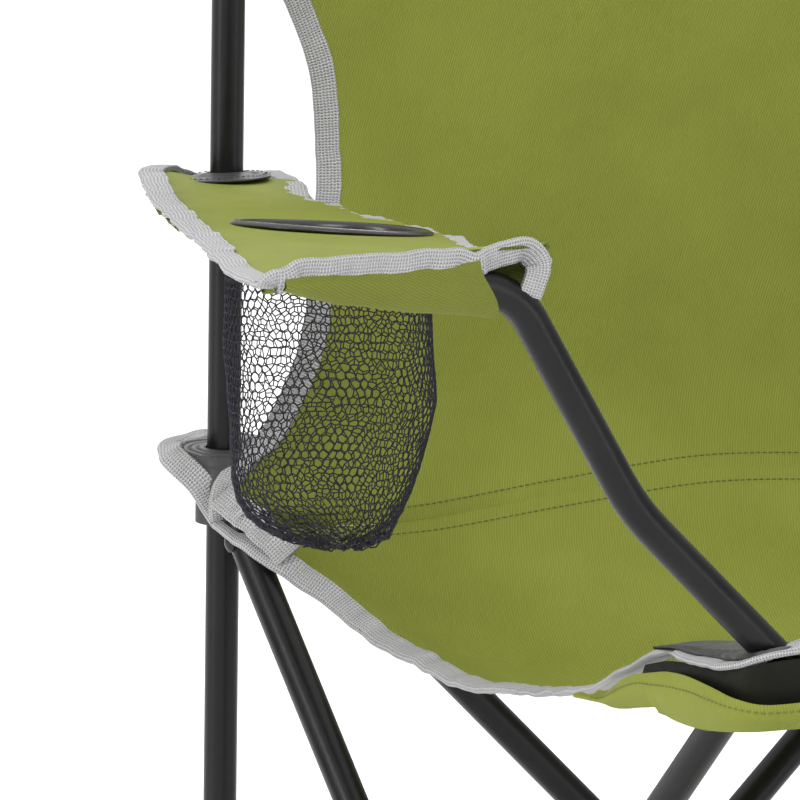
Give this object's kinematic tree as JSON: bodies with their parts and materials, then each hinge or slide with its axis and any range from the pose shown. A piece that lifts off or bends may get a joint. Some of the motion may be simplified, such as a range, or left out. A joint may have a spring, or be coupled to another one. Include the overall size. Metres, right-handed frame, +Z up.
{
  "type": "folding camp chair",
  "caption": "Quad-fold camp chair: crossed steel tubes riveted to plastic hubs, sliding rear hubs, cloth sling seat and back, cloth armrests on bent tubes, net cup pocket.",
  "frame": {"origin": "floor level, midway between the four feet", "axes": "+Z up, -Y the way the sitter faces, +X to the sitter's left"},
  "size_m": [0.98, 0.5282, 0.824],
  "materials": {
    "powder_coated_tube": "satin gloss powder coat",
    "rivet": "satin",
    "hub_plastic": "fine moulded",
    "plug_plastic": "fine moulded",
    "ring_plastic": "gloss",
    "cloth": "coated polyester twill",
    "cloth_armrest": "coated polyester twill",
    "binding_tape": "ribbed woven tape",
    "patch_vinyl": "stitched vinyl",
    "net": "knitted net"
  },
  "bodies": {
    "frame_base": {"back_post_right": "powder_coated_tube", "post_caps_right": "plug_plastic", "foot_rear_right": "hub_plastic", "backrest": "cloth", "backrest_binding": "binding_tape", "back_pocket_right": "cloth"},
    "side_inner_right": {"side_tube_inner_right": "powder_coated_tube", "plugs_side_inner_right": "plug_plastic", "rivets_side_inner_right": "rivet"},
    "side_outer_right": {"side_tube_outer_right": "powder_coated_tube", "plugs_side_outer_right": "plug_plastic", "rivets_side_outer_right": "rivet"},
    "slider_right": {"slider_hub_right": "hub_plastic", "seat_loop_rear_right": "patch_vinyl"},
    "foot_front_right": {"foot_front_right": "hub_plastic"},
    "hub_front_right": {"front_hub_right": "hub_plastic", "seat_loop_front_right": "patch_vinyl", "hub_flap_right": "cloth"},
    "arm_right": {"arm_tube_right": "powder_coated_tube", "plugs_arm_right": "plug_plastic", "rivets_arm_right": "rivet", "armrest_right": "cloth_armrest", "armrest_binding_right": "binding_tape", "armrest_patch_right": "patch_vinyl", "cup_ring": "ring_plastic", "cup_pocket": "net"},
    "arm_left": {"arm_tube_left": "powder_coated_tube", "plugs_arm_left": "plug_plastic", "rivets_arm_left": "rivet", "armrest_left": "cloth_armrest", "armrest_binding_left": "binding_tape", "armrest_patch_left": "patch_vinyl"},
    "rear_outer": {"rear_tube_outer": "powder_coated_tube", "plugs_rear_outer": "plug_plastic", "rivets_rear_outer": "rivet"},
    "rear_inner": {"rear_tube_inner": "powder_coated_tube", "plugs_rear_inner": "plug_plastic", "rivets_rear_inner": "rivet"},
    "slider_left": {"slider_hub_left": "hub_plastic", "seat_loop_rear_left": "patch_vinyl"},
    "post_left": {"back_post_left": "powder_coated_tube", "post_caps_left": "plug_plastic", "foot_rear_left": "hub_plastic", "back_pocket_left": "cloth"},
    "side_inner_left": {"side_tube_inner_left": "powder_coated_tube", "plugs_side_inner_left": "plug_plastic", "rivets_side_inner_left": "rivet"},
    "side_outer_left": {"side_tube_outer_left": "powder_coated_tube", "plugs_side_outer_left": "plug_plastic", "rivets_side_outer_left": "rivet"},
    "foot_front_left": {"foot_front_left": "hub_plastic"},
    "hub_front_left": {"front_hub_left": "hub_plastic", "seat_loop_front_left": "patch_vinyl", "hub_flap_left": "cloth"},
    "seat_rear": {"seat_rear": "cloth", "seat_binding_rear": "binding_tape"},
    "seat_front": {"seat_front": "cloth", "seat_binding_front": "binding_tape"}
  },
  "joints": [
    {"name": "fold", "type": "hinge", "parent": "frame_base", "child": "side_inner_right", "pos_m": [-0.23, 0.202, 0.03], "axis": [-1, 0, 0], "range_deg": [0, 36], "deforming": ["backrest", "backrest_binding", "back_pocket_right", "back_pocket_left", "seat_rear", "seat_front", "seat_binding_rear", "seat_binding_front", "armrest_right", "armrest_left", "armrest_binding_right", "armrest_binding_left", "armrest_patch_right", "armrest_patch_left", "cup_pocket", "cup_ring", "seat_loop_rear_right", "seat_loop_rear_left", "seat_loop_front_right", "seat_loop_front_left", "hub_flap_right", "hub_flap_left"]},
    {"name": "front_hub_right_turn", "type": "hinge", "parent": "side_inner_right", "child": "hub_front_right", "pos_m": [-0.23, -0.202, 0.425], "axis": [-1, 0, 0], "range_deg": [-36, 0]},
    {"name": "side_cross_right", "type": "hinge", "parent": "side_inner_right", "child": "side_outer_right", "pos_m": [-0.238, 0, 0.2275], "axis": [-1, 0, 0], "range_deg": [-72, 0]},
    {"name": "slider_right_turn", "type": "hinge", "parent": "side_outer_right", "child": "slider_right", "pos_m": [-0.246, 0.202, 0.425], "axis": [-1, 0, 0], "range_deg": [0, 36]},
    {"name": "front_foot_right_turn", "type": "hinge", "parent": "side_outer_right", "child": "foot_front_right", "pos_m": [-0.246, -0.202, 0.03], "axis": [-1, 0, 0], "range_deg": [0, 36]},
    {"name": "arm_right_turn", "type": "hinge", "parent": "hub_front_right", "child": "arm_right", "pos_m": [-0.202, -0.246, 0.425], "axis": [0, 1, 0], "range_deg": [0, 36]},
    {"name": "front_cross", "type": "hinge", "parent": "arm_right", "child": "arm_left", "pos_m": [0, -0.238, 0.2275], "axis": [0, 1, 0], "range_deg": [-72, 0]},
    {"name": "rear_outer_turn", "type": "hinge", "parent": "frame_base", "child": "rear_outer", "pos_m": [-0.202, 0.246, 0.03], "axis": [0, -1, 0], "range_deg": [0, 36]},
    {"name": "slider_left_turn", "type": "hinge", "parent": "rear_outer", "child": "slider_left", "pos_m": [0.202, 0.246, 0.425], "axis": [0, -1, 0], "range_deg": [-36, 0]},
    {"name": "rear_cross", "type": "hinge", "parent": "rear_outer", "child": "rear_inner", "pos_m": [0, 0.238, 0.2275], "axis": [0, -1, 0], "range_deg": [-72, 0]},
    {"name": "post_left_turn", "type": "hinge", "parent": "rear_inner", "child": "post_left", "pos_m": [0.202, 0.23, 0.03], "axis": [0, -1, 0], "range_deg": [0, 36]},
    {"name": "side_inner_left_turn", "type": "hinge", "parent": "post_left", "child": "side_inner_left", "pos_m": [0.23, 0.202, 0.03], "axis": [-1, 0, 0], "range_deg": [0, 36]},
    {"name": "front_hub_left_turn", "type": "hinge", "parent": "side_inner_left", "child": "hub_front_left", "pos_m": [0.23, -0.202, 0.425], "axis": [-1, 0, 0], "range_deg": [-36, 0]},
    {"name": "side_cross_left", "type": "hinge", "parent": "side_inner_left", "child": "side_outer_left", "pos_m": [0.238, 0, 0.2275], "axis": [-1, 0, 0], "range_deg": [-72, 0]},
    {"name": "front_foot_left_turn", "type": "hinge", "parent": "side_outer_left", "child": "foot_front_left", "pos_m": [0.246, -0.202, 0.03], "axis": [-1, 0, 0], "range_deg": [0, 36]},
    {"name": "seat_rear_droop", "type": "hinge", "parent": "slider_right", "child": "seat_rear", "pos_m": [0, 0.238, 0.457], "axis": [1, 0, 0], "range_deg": [0, 55.08]},
    {"name": "seat_front_droop", "type": "hinge", "parent": "hub_front_right", "child": "seat_front", "pos_m": [0, -0.238, 0.457], "axis": [-1, 0, 0], "range_deg": [0, 55.08]}
  ],
  "couplings": [
    {"joint": "front_hub_right_turn", "follows": "fold", "ratio": -1},
    {"joint": "side_cross_right", "follows": "fold", "ratio": -2},
    {"joint": "slider_right_turn", "follows": "fold", "ratio": 1},
    {"joint": "front_foot_right_turn", "follows": "fold", "ratio": 1},
    {"joint": "arm_right_turn", "follows": "fold", "ratio": 1},
    {"joint": "front_cross", "follows": "fold", "ratio": -2},
    {"joint": "rear_outer_turn", "follows": "fold", "ratio": 1},
    {"joint": "slider_left_turn", "follows": "fold", "ratio": -1},
    {"joint": "rear_cross", "follows": "fold", "ratio": -2},
    {"joint": "post_left_turn", "follows": "fold", "ratio": 1},
    {"joint": "side_inner_left_turn", "follows": "fold", "ratio": 1},
    {"joint": "front_hub_left_turn", "follows": "fold", "ratio": -1},
    {"joint": "side_cross_left", "follows": "fold", "ratio": -2},
    {"joint": "front_foot_left_turn", "follows": "fold", "ratio": 1},
    {"joint": "seat_rear_droop", "follows": "fold", "ratio": 1.53},
    {"joint": "seat_front_droop", "follows": "fold", "ratio": 1.53}
  ]
}
